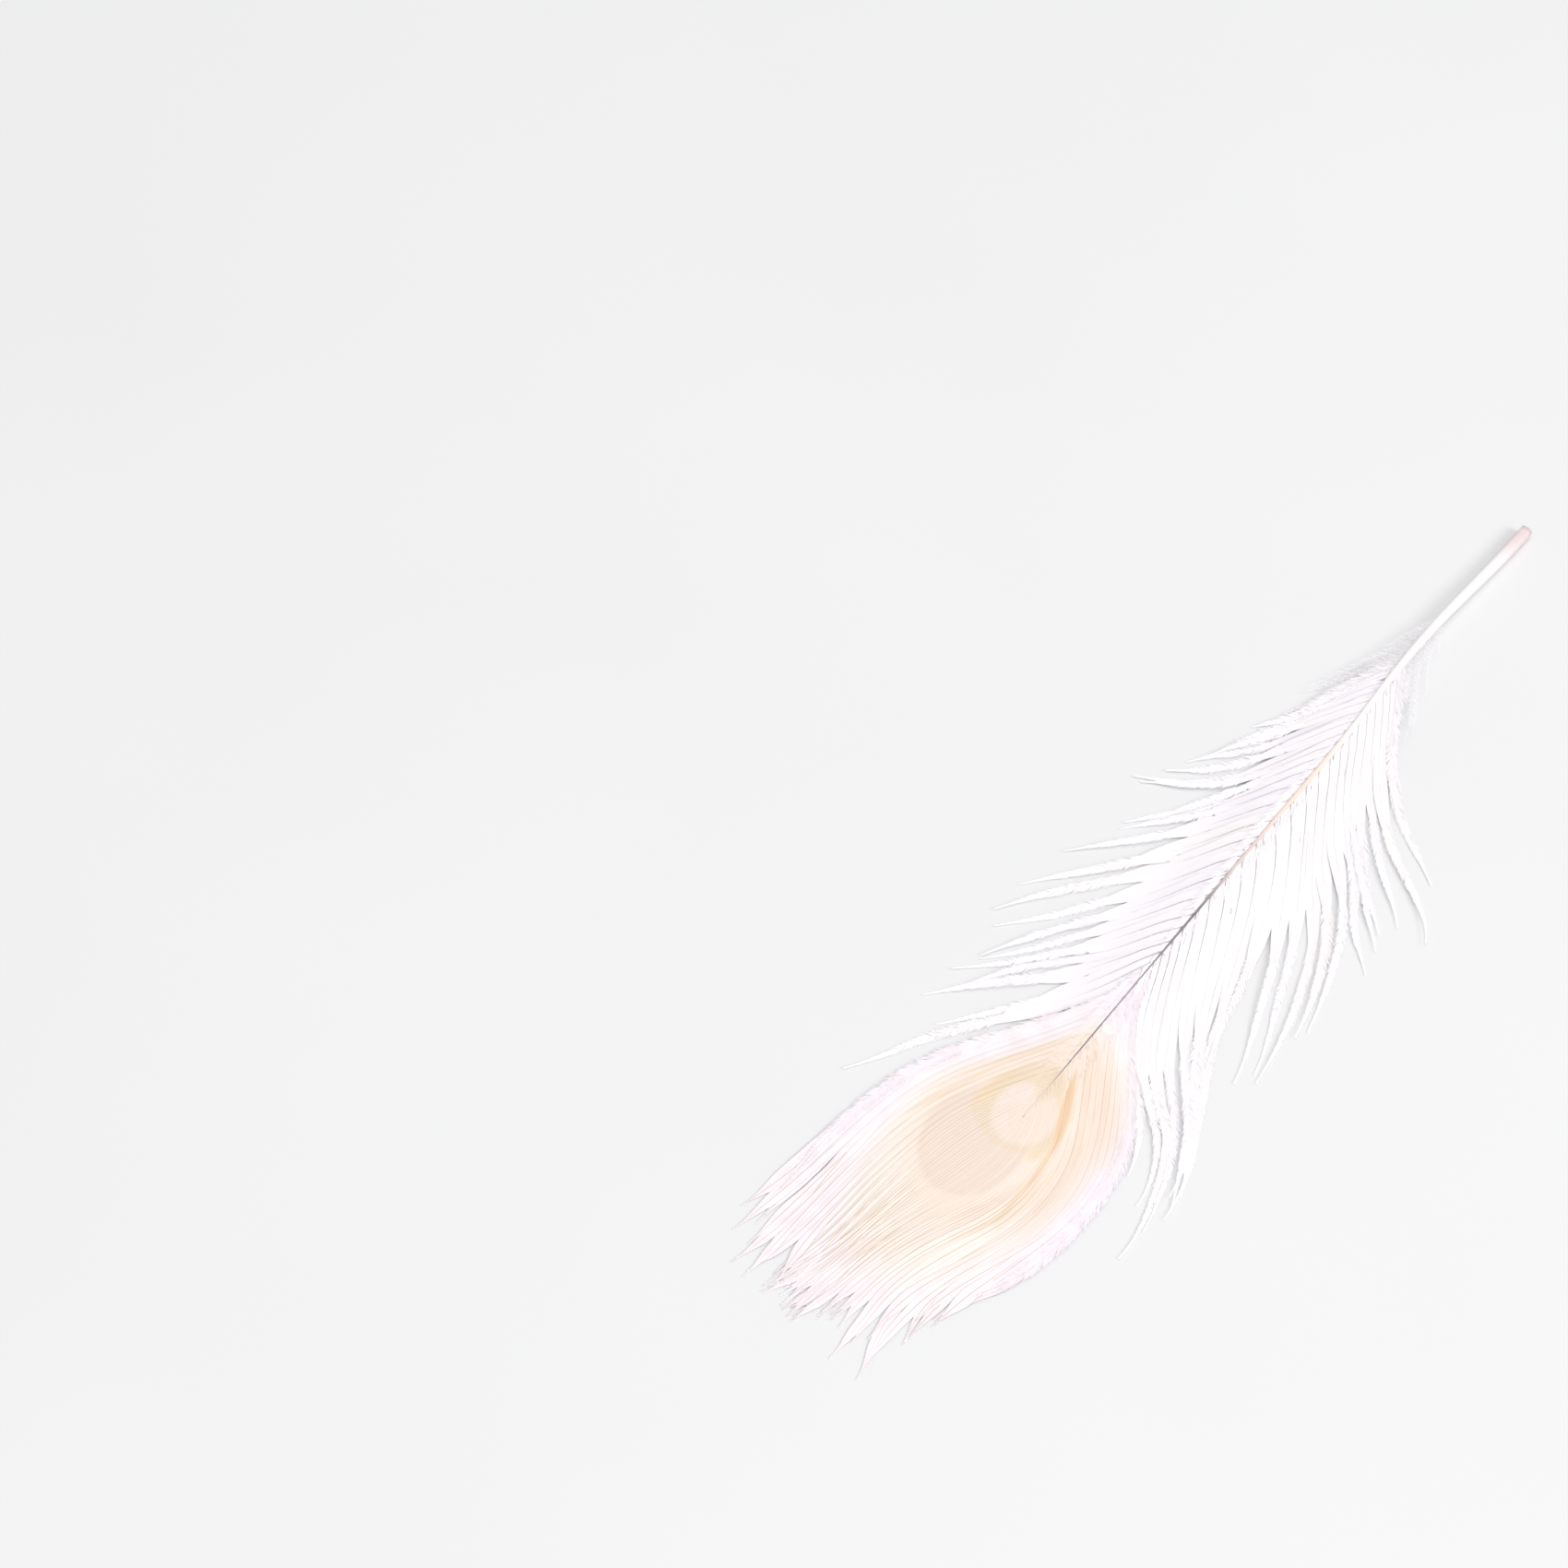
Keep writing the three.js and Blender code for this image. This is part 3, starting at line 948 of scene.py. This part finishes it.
class BarbSettings(bpy.types.PropertyGroup):
    """The loose barbs on both sides of the shaft."""

    ramus_width: length_setting("Ramus width", "Width of a barb's own strand near its root", 0.23)
    lock_pull: share_setting("Lock pull", "How closely barbs draw together into locks", 0.6)
    barbule_spacing: length_setting("Barbule spacing", "Gap between barbules on one side", 0.18)
    barbule_length: length_setting("Barbule length", "Length of the longest barbules", 3.3)
    barbule_width: length_setting("Barbule width", "Largest width of a barbule", 0.2)
    rest_height: length_setting("Rest height", "How high the barbs' outer halves lie", 0.8)
    white: colour_setting("White", "Main colour of the barbs", 254, 251, 253)
    lilac: colour_setting("Lilac", "Cool tint on some barbs", 250, 246, 252)
    cream: colour_setting("Cream", "Warm tint on some barbs", 254, 248, 240)
    shade: colour_setting("Shade", "Deeper tint in the barbules", 250, 245, 249)
    blade_tint: colour_setting("Blade tint", "Tint of barbules that hold together", 254, 253, 254)
    near_eye: colour_setting("Near the eye", "Tint of held barbules next to the eye", 250, 246, 249)
    # Blade shade is also the painted shade on one side of each blade.
    blade_shade: colour_setting("Blade shade", "Deeper tint of held barbules", 247, 246, 247)
    ramus_colour: colour_setting("Ramus", "Colour of the line along each barb", 250, 247, 249)
    # Painted shade: the barb's line is darkened next to the shaft, as the shadow beside its ridge.
    root_shade_colour: colour_setting("Root", "Colour of that line next to the shaft", 184, 176, 181)


class EyeSettings(bpy.types.PropertyGroup):
    """The closed web of the eye and its fringe."""

    ramus_width: length_setting("Ramus width", "Width of a barb's own strand near its root", 0.3)
    most_width: length_setting("Most width", "Largest width of one closed barb", 3.2)
    ridge_height: length_setting("Ridge height", "Height of the ridge on a closed barb", 0.05)
    opening: length_setting("Opening", "How far from the cut end the fringe begins", 250)
    fringe_pull: share_setting("Fringe pull", "How closely the tips draw together into locks", 0.85)
    barbule_spacing: length_setting("Barbule spacing", "Gap between barbules on one side", 0.155)
    barbule_length: length_setting("Barbule length", "Length of the longest barbules", 2.7)
    barbule_width: length_setting("Barbule width", "Largest width of a barbule", 0.2)
    stagger: length_setting("Stagger", "How far the pattern shifts from barb to barb", 0.5)
    outer: colour_setting("Outer", "Colour around the cream area", 246, 238, 243)
    fringe: colour_setting("Fringe", "Cool colour towards the edge", 250, 246, 251)
    cream: colour_setting("Cream", "Colour of the cream area", 251, 243, 238)
    warm: colour_setting("Warm", "Colour around the disc", 248, 232, 219)
    tan: colour_setting("Tan", "Colour beside the eye, on the feather's left", 241, 223, 208)
    disc: colour_setting("Disc", "Colour of the large disc", 239, 222, 209)
    ring: colour_setting("Ring", "Colour of the ring", 238, 219, 194)
    golden: colour_setting("Golden", "Deepest colour of the ring's far side", 240, 220, 188)
    crescent: colour_setting("Crescent", "Colour of the ring's near edge", 236, 206, 172)
    spot: colour_setting("Spot", "Colour inside the ring", 244, 228, 216)
    core: colour_setting("Core", "Palest colour in the spot", 249, 234, 227)
    thread: colour_setting("Thread", "Colour of the barbs' threads in the fringe", 212, 188, 160)
    groove: colour_setting("Groove", "Tint of the streaks on the barbs", 240, 226, 212)
    cool_groove: colour_setting("Cool groove", "Tint of streaks around the cream area", 246, 238, 243)
    # Painted shade: this warm line darkens the groove between two barbs.
    line: colour_setting("Line", "Tint of the thin line between two barbs", 212, 190, 172)


class StageSettings(bpy.types.PropertyGroup):
    """The floor, the light and the camera."""

    floor_colour: colour_setting("Floor", "Colour of the floor", 230, 230, 231)
    floor_size: length_setting("Floor size", "Side of the square floor", 8000)
    key_power: power_setting("Key power", "Power of the main light", 32.0)
    fill_power: power_setting("Fill power", "Power of the light overhead", 41.0)
    air_light: share_setting("Air light", "Strength of the light from all round", 0.54)
    camera_azimuth: angle_setting("Azimuth", "Turn of the camera", 129.7)
    camera_elevation: angle_setting("Elevation", "Camera's angle above the floor", 60)
    camera_distance: length_setting("Distance", "From the camera to the point it looks at", 725.6)
    camera_lens: number_setting("Lens", "Focal length", 70.0, unit="CAMERA")
    aim_along: length_setting("Aim along", "How far along the shaft the camera looks", 173.4)
    aim_beside: length_setting("Aim beside", "How far to the feather's right it looks", 96.5)


SETTINGS = {
    "feather_shaft": ShaftSettings,
    "feather_barbs": BarbSettings,
    "feather_eye": EyeSettings,
    "feather_stage": StageSettings,
}


# Pieces


def shaft_mesh(settings):
    """An oval tapered rod with a grooved underside and its pith showing at the cut end."""
    bm = closed_tube(SHAFT_SIDES, SHAFT_LENGTH, SHAFT_CUTS)
    pith = min(bm.faces, key=lambda face: face.calc_center_median().z)
    rim = settings.rim_width / MM / QUILL_RADIUS
    bmesh.ops.inset_region(bm, faces=[pith], thickness=rim)
    bmesh.ops.inset_region(bm, faces=[pith], thickness=PITH_STEP)
    bmesh.ops.translate(bm, verts=pith.verts[:], vec=(0, 0, settings.pith_depth / MM))
    pith.material_index = 1
    for vertex in bm.verts:
        across, above, along = vertex.co
        angle = math.atan2(above, across)
        squarer = 1 + SHAFT_SQUARENESS * math.cos(4 * angle + math.pi)
        below = math.exp(-(((angle + math.pi / 2) / GROOVE_HALF_ANGLE) ** 2))
        grooved = settings.groove_share * float(ramp(along, 0, GROOVE_FADE)) * below
        radius = float(shaft_radius(along)) * squarer * (1 - grooved)
        vertex.co = (
            along,
            float(shaft_bow(along)) + across * radius,
            float(shaft_height(along)) + above * radius * SHAFT_DEPTH_RATIO,
        )
    bmesh.ops.scale(bm, verts=bm.verts[:], vec=(MM, MM, MM))
    bmesh.ops.translate(bm, verts=bm.verts[:], vec=tuple(CUT_END))
    bmesh.ops.recalc_face_normals(bm, faces=bm.faces[:])
    for face in bm.faces:
        face.smooth = face.material_index == 0
    mesh = bpy.data.meshes.new("quill_and_rachis")
    bm.to_mesh(mesh)
    bm.free()
    return mesh


def vane_blades(name, hand, paths, room, held, widths, strands):
    """Barbules that hold together as one smooth blade along each barb, which narrows outwards."""
    growing = 0.45 + 0.55 * ramp(path_lengths(paths), 0, 2.5)
    wide = np.clip(BLADE_FILL * room, 0.1, 3.0) * growing
    blade_widths = wide * held + widths * (1 - held)
    # The vane slopes down away from the shaft, and its blades turn part of the way with it.
    tangent = frames_along(paths)[0]
    leaving = hand * np.maximum(hand * tangent[..., 1], 0.35)
    slope = np.arctan(tangent[..., 2] * tangent[..., 0] / leaving)
    tilts = BLADE_TURN * slope * held - hand * BLADE_CANT
    lowered = paths - (0, 0, 0.1)
    return strand_mesh(name, RIDGED_SECTION, lowered, blade_widths, widths * 0.3, tilts, strands)


def vane_barbules(name, hand, paths, held, down, strands, settings, random):
    """Barbules that stand free: where no blade holds them, in the down, and along the shaft."""
    growth = 0.85 + 0.15 * ramp(STATIONS, 0, 0.1)
    thinning = 1 - 0.42 * ramp(STATIONS, 0.3, 0.55)
    ending = 1 - 0.85 * ramp(STATIONS, 0.72, 0.28)
    fullness = random.uniform(0.82, 1.08, len(paths)) * (1 - 0.5 * down)
    lengths = settings.barbule_length / MM * growth * thinning * ending
    lengths = lengths * fullness[:, None] * (1 - ramp(held, 0.35, 0.5))
    lengths = lengths * worn(paths, random)
    angles = np.append(random.uniform(33, 42, len(paths)) + 10 * down, 34)
    spacing = settings.barbule_spacing / MM
    half_width = settings.barbule_width / MM / 2

    # The last row of barbules grows from the shaft itself, on this side of it, and fills the gaps.
    shaft_row = shaft_line(SHAFT_ROW_START, VANE_END)
    along = shaft_row[..., 0]
    by_shaft = 0.9 * np.interp(along, GAP_PLACES, GAP_SIZES) * (1 - ramp(along, 148, 10))
    return barbule_mesh(
        name,
        paths=np.concatenate([paths, shaft_row]),
        strands=np.append(strands, 0.5),
        spacings=np.append(spacing * (1 + 2.0 * down), spacing),
        lengths=np.concatenate([lengths, by_shaft]),
        widths=np.append(half_width * (1 - 0.55 * down), half_width),
        angles=angles[:, None] * np.ones_like(STATIONS),
        ragged=np.append(0.1 + 0.8 * down, 0.06),
        bare=np.append(np.zeros(len(strands)), -hand),
        beside=hand,
        random=random,
    )


def build_vane(node, hand, guides, settings, seed):
    """The loose barbs of one side, with their barbules, and the short down next to the quill."""
    random = np.random.default_rng(seed)
    roots = barb_roots(guides[0][0][0], VANE_END, random)
    pulls = settings.lock_pull * random.uniform(0.2, 1.0, len(roots))
    flat = guided_paths(on_hand(guides, hand), roots, pulls, pull_from=0.3)
    flat = shorten(flat, random.uniform(0.84, 1.0, len(roots)))
    flat = wander(flat, random.uniform(0.2, 1.3, len(roots)), growth=1.3, random=random)
    root_on_shaft(flat, roots, hand)
    room = room_between(flat)
    room[-2:] = np.maximum(room[-2:], LAST_ROOM)
    heights = raise_loose(flat, settings.rest_height / MM, random)
    paths = np.concatenate([flat, heights[..., None]], 2)
    strands = random.uniform(0, 1, len(roots))
    down = 1 - ramp(roots, DOWN_END, DOWN_FADE)
    widths = settings.ramus_width / MM / 2 * (1 - 0.9 * STATIONS) * (1 - 0.6 * down)[:, None]
    untilted = np.zeros_like(widths)
    rami = strand_mesh(
        node + "_barbs", ROUND_SECTION, paths, widths, widths * 0.9, untilted, strands
    )
    add_piece(rami, ramus_material(settings), node)

    held = (1 - ramp(STATIONS, 0.3, 0.4)) * ramp(roots, BLADES_START, 14)[:, None]
    blades = vane_blades(node + "_blades", hand, paths, room, held, widths, strands)
    add_piece(blades, blade_material(settings), node)

    name = node + "_barbules"
    barbules = vane_barbules(name, hand, paths, held, down, strands, settings, random)
    add_piece(barbules, barbule_material(settings), node)


def eye_barbules(name, hand, paths, room, edge, opened, strands, settings, random):
    """Barbules that stand free: beside the shaft, along the web's edge and in the fringe."""
    longest = settings.barbule_length / MM
    by_shaft = np.clip(1.7 * room, 0, longest) * (1 - ramp(path_lengths(paths[..., :2]), 2.5, 5))
    along_edge = 1.15 * longest * edge
    in_fringe = np.clip(1.4 * room, 0.6, longest) * ramp(opened, 0.2, 0.5)
    thinning = 1 - 0.85 * ramp(STATIONS, 0.78, 0.22)
    lengths = np.maximum(np.maximum(by_shaft, along_edge), in_fringe) * thinning
    lengths = lengths * worn(paths, random)
    angles = np.append(random.uniform(32, 40, len(paths)), 32)[:, None]
    shaft_row = shaft_line(paths[0, 0, 0] - 2, SHAFT_LENGTH - 2)
    on_shaft = np.interp(shaft_row[..., 0], [164, 188, 204], [2.8, 1.8, 0.8])
    ones = np.ones(len(paths) + 1)
    return barbule_mesh(
        name,
        paths=np.concatenate([paths, shaft_row]),
        strands=np.append(strands, 0.5),
        spacings=ones * settings.barbule_spacing / MM,
        lengths=np.concatenate([lengths, on_shaft]),
        widths=ones * settings.barbule_width / MM / 2,
        angles=angles - 16 * ramp(STATIONS, 0.7, 0.2),
        ragged=ones * 0.05,
        bare=np.append(np.zeros(len(strands)), -hand),
        beside=hand,
        random=random,
    )


def build_eye_side(name, hand, guides, settings, seed):
    """One side of the eye: barbs that close into a web, and open again into the fringe."""
    random = np.random.default_rng(seed)
    roots = barb_roots(guides[0][0][0], MIDDLE_GUIDE[0][0], random)
    pulls = settings.fringe_pull * random.uniform(0.3, 1.0, len(roots))
    flat = guided_paths([*on_hand(guides, hand), MIDDLE_GUIDE], roots, pulls, pull_from=0.8)
    flat = shorten(flat, random.uniform(0.91, 1.0, len(roots)))
    flat = wander(flat, random.uniform(0.3, 2.2, len(roots)), growth=4.0, random=random)
    room = room_between(flat)
    paths = np.concatenate([flat, web_height(flat)[..., None]], 2)
    levels = random.uniform(-1, 1, (len(roots), 1))
    paths[..., 2] += levels * (0.015 + 0.07 * ramp(STATIONS, 0.7, 0.3))
    strands = random.uniform(0, 1, len(roots))

    # Each barb is as wide as the room beside it, and narrows to a thread in the fringe. The web's
    # outermost barbs are narrower, with longer barbules, so that its edge is soft.
    edge = np.clip(1 - (roots - roots[0]) / 7, 0, 1)[:, None]
    opens_at = settings.opening / MM + random.uniform(-3, 5, (len(roots), 1))
    opened = FRINGE_OPENING * ramp(flat[..., 0], opens_at, FRINGE_LENGTH)
    opened = np.maximum(opened, ramp(STATIONS, 1 - THREAD_SHARE, THREAD_SHARE))
    growing = 0.3 + 0.7 * ramp(path_lengths(flat), 0, 3)
    wide = np.clip(room * WEB_FILL, 0.1, settings.most_width / MM / 2) * growing
    by_edge = np.interp(np.arange(len(roots)), [0, 1, 2, 3], [0.5, 1.3, 1.15, 1.0])[:, None]
    thin = settings.ramus_width / MM / 2 * (1 - 0.75 * STATIONS)
    widths = wide * by_edge * (1 - opened) + thin * opened
    heights = np.minimum(settings.ridge_height / MM, widths) * (1 - opened) + thin * opened
    side = frames_along(paths)[1][..., :2]
    slope = np.arctan(web_height(flat + side / 2) - web_height(flat - side / 2))
    tilts = slope - hand * WEB_CANT
    barbs = strand_mesh(name + "_barbs", RIDGED_SECTION, paths, widths, heights, tilts, strands)
    add_piece(barbs, eye_material(name + "_barbs", settings, True), "eye_web")

    name = name + "_barbules"
    barbules = eye_barbules(name, hand, paths, room, edge, opened, strands, settings, random)
    add_piece(barbules, eye_material(name, settings, False), "eye_web")


class FEATHER_OT_shaft(bpy.types.Operator):
    """Make the quill and rachis"""

    bl_idname = "feather.shaft"
    bl_label = "Shaft"

    def execute(self, context):
        settings = context.scene.feather_shaft
        mesh = shaft_mesh(settings)
        add_piece(mesh, shaft_material(settings), "shaft")
        mesh.materials.append(pith_material(settings))
        return {"FINISHED"}


class FEATHER_OT_vanes(bpy.types.Operator):
    """Make the loose barbs on both sides of the shaft"""

    bl_idname = "feather.vanes"
    bl_label = "Vanes"

    def execute(self, context):
        settings = context.scene.feather_barbs
        build_vane("left_vane", 1, LEFT_GUIDES, settings, seed=11)
        build_vane("right_vane", -1, RIGHT_GUIDES, settings, seed=23)
        return {"FINISHED"}


class FEATHER_OT_eye(bpy.types.Operator):
    """Make the closed web of the eye and its fringe"""

    bl_idname = "feather.eye"
    bl_label = "Eye"

    def execute(self, context):
        settings = context.scene.feather_eye
        build_eye_side("eye_left", 1, EYE_LEFT_GUIDES, settings, seed=71)
        build_eye_side("eye_right", -1, EYE_RIGHT_GUIDES, settings, seed=83)
        return {"FINISHED"}


def add_facing(holder, aim, azimuth, elevation, distance):
    """Puts a light or camera where it looks at a point from this azimuth and elevation."""
    level = math.cos(elevation)
    way = Vector((math.sin(azimuth) * level, -math.cos(azimuth) * level, math.sin(elevation)))
    holder.location = aim + way * distance
    holder.rotation_mode = "QUATERNION"
    holder.rotation_quaternion = (-way).to_track_quat("-Z", "Y")
    bpy.context.scene.collection.objects.link(holder)


def add_light(name, azimuth, height, size, power):
    """A round light that looks at the origin, from this azimuth and degrees over the floor."""
    lamp = bpy.data.lights.new(name, "AREA")
    lamp.shape = "DISK"
    lamp.size = size
    lamp.energy = power
    light = bpy.data.objects.new(name, lamp)
    add_facing(light, Vector(), azimuth, math.radians(height), LIGHT_DISTANCE)


class FEATHER_OT_stage(bpy.types.Operator):
    """Make the floor, the light and the camera"""

    bl_idname = "feather.stage"
    bl_label = "Stage"

    def execute(self, context):
        scene, settings = context.scene, context.scene.feather_stage
        bm = bmesh.new()
        bmesh.ops.create_grid(bm, x_segments=1, y_segments=1, size=settings.floor_size / 2)
        mesh = bpy.data.meshes.new("floor")
        bm.to_mesh(mesh)
        bm.free()
        floor = bpy.data.objects.new("floor", mesh)
        floor.location.z = -FLOOR_GAP
        mesh.materials.append(floor_material(settings))
        scene.collection.objects.link(floor)

        azimuth = settings.camera_azimuth
        beside = azimuth + math.radians(KEY_TURN)
        add_light("key", beside, KEY_HEIGHT, KEY_SIZE, settings.key_power)
        add_light("overhead", azimuth, OVERHEAD_HEIGHT, OVERHEAD_SIZE, settings.fill_power)

        world = bpy.data.worlds.new("studio")
        world.use_nodes = True
        background = world.node_tree.nodes["Background"]
        background.inputs["Color"].default_value = (1, 1, 1, 1)
        background.inputs["Strength"].default_value = settings.air_light
        scene.world = world
        scene.view_settings.view_transform = "Standard"

        camera = bpy.data.cameras.new("camera")
        camera.lens = settings.camera_lens
        camera.sensor_width = 36
        holder = bpy.data.objects.new("camera", camera)
        aim = Vector(to_frame((settings.aim_along / MM, -settings.aim_beside / MM, 0)))
        add_facing(holder, aim, azimuth, settings.camera_elevation, settings.camera_distance)
        scene.camera = holder
        return {"FINISHED"}


OPERATORS = (FEATHER_OT_stage, FEATHER_OT_shaft, FEATHER_OT_vanes, FEATHER_OT_eye)


class FEATHER_PT_parts(bpy.types.Panel):
    """The feather's pieces and their settings"""

    bl_label = "Feather"
    bl_idname = "FEATHER_PT_parts"
    bl_space_type = "VIEW_3D"
    bl_region_type = "UI"
    bl_category = "Feather"

    def draw(self, context):
        for operator in OPERATORS:
            self.layout.operator(operator.bl_idname)
        for name in SETTINGS:
            group = getattr(context.scene, name)
            box = self.layout.box()
            for setting in group.__annotations__:
                box.prop(group, setting)


def register():
    for name, group in SETTINGS.items():
        bpy.utils.register_class(group)
        setattr(bpy.types.Scene, name, bpy.props.PointerProperty(type=group))
    for operator in OPERATORS:
        bpy.utils.register_class(operator)
    bpy.utils.register_class(FEATHER_PT_parts)


def unregister():
    bpy.utils.unregister_class(FEATHER_PT_parts)
    for operator in reversed(OPERATORS):
        bpy.utils.unregister_class(operator)
    for name, group in reversed(list(SETTINGS.items())):
        delattr(bpy.types.Scene, name)
        bpy.utils.unregister_class(group)


def main():
    register()
    bpy.ops.feather.stage()
    bpy.ops.feather.shaft()
    bpy.ops.feather.vanes()
    bpy.ops.feather.eye()


if __name__ == "__main__":
    main()
